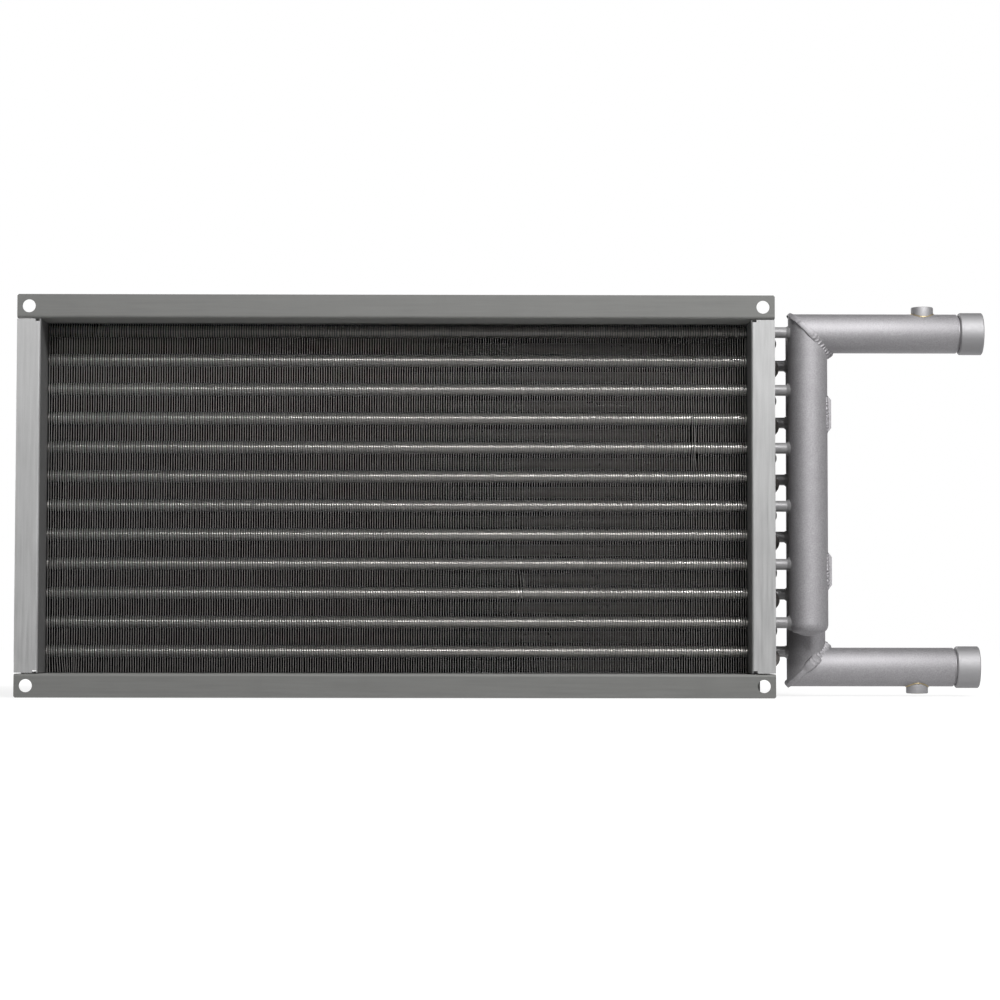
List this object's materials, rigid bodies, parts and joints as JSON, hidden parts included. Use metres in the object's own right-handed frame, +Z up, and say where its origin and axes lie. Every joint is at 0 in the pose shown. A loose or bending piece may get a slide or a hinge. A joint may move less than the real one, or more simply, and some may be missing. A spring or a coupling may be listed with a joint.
{
  "type": "duct water heating coil",
  "caption": "Hot water heating coil for a rectangular air duct: flanged sheet casing, copper tubes in aluminium fins, steel headers with two pipe connections on the right.",
  "frame": {"origin": "centre of the duct opening, on the face of the front flange", "axes": "+X across the duct towards the headers, +Y through the duct with the air, +Z up"},
  "size_m": [0.8256, 0.15, 0.34],
  "materials": {
    "galvanised_sheet": "zinc coated",
    "fin_aluminium": "mill",
    "tube_copper": "drawn copper",
    "stub_paint": "satin paint",
    "header_paint": "satin paint",
    "plug_brass": "turned"
  },
  "bodies": {
    "root": {"boss_plugs": "plug_brass", "bottom_connection_pipe": "header_paint", "casing_bottom": "galvanised_sheet", "casing_top": "galvanised_sheet", "fin_pack": "fin_aluminium", "front_header": "header_paint", "front_header_stubs": "stub_paint", "hairpin_row1_1": "tube_copper", "hairpin_row1_2": "tube_copper", "hairpin_row1_3": "tube_copper", "hairpin_row1_4": "tube_copper", "hairpin_row1_5": "tube_copper", "hairpin_row1_6": "tube_copper", "hairpin_row2_1": "tube_copper", "hairpin_row2_2": "tube_copper", "hairpin_row2_3": "tube_copper", "hairpin_row2_4": "tube_copper", "hairpin_row2_5": "tube_copper", "hairpin_row2_6": "tube_copper", "hairpin_row3_1": "tube_copper", "hairpin_row3_2": "tube_copper", "hairpin_row3_3": "tube_copper", "hairpin_row3_4": "tube_copper", "hairpin_row3_5": "tube_copper", "hairpin_row3_6": "tube_copper", "pipe_sockets": "header_paint", "rear_header": "header_paint", "rear_header_stubs": "stub_paint", "return_bend_front_1": "tube_copper", "return_bend_front_2": "tube_copper", "return_bend_front_3": "tube_copper", "return_bend_front_4": "tube_copper", "return_bend_front_5": "tube_copper", "return_bend_front_6": "tube_copper", "return_bend_rear_1": "tube_copper", "return_bend_rear_2": "tube_copper", "return_bend_rear_3": "tube_copper", "return_bend_rear_4": "tube_copper", "return_bend_rear_5": "tube_copper", "return_bend_rear_6": "tube_copper", "tie_strap_lower": "header_paint", "tie_strap_upper": "header_paint", "top_connection_pipe": "header_paint", "tube_sheet_left": "galvanised_sheet", "tube_sheet_right": "galvanised_sheet", "vent_and_drain_bosses": "header_paint"}
  },
  "joints": []
}
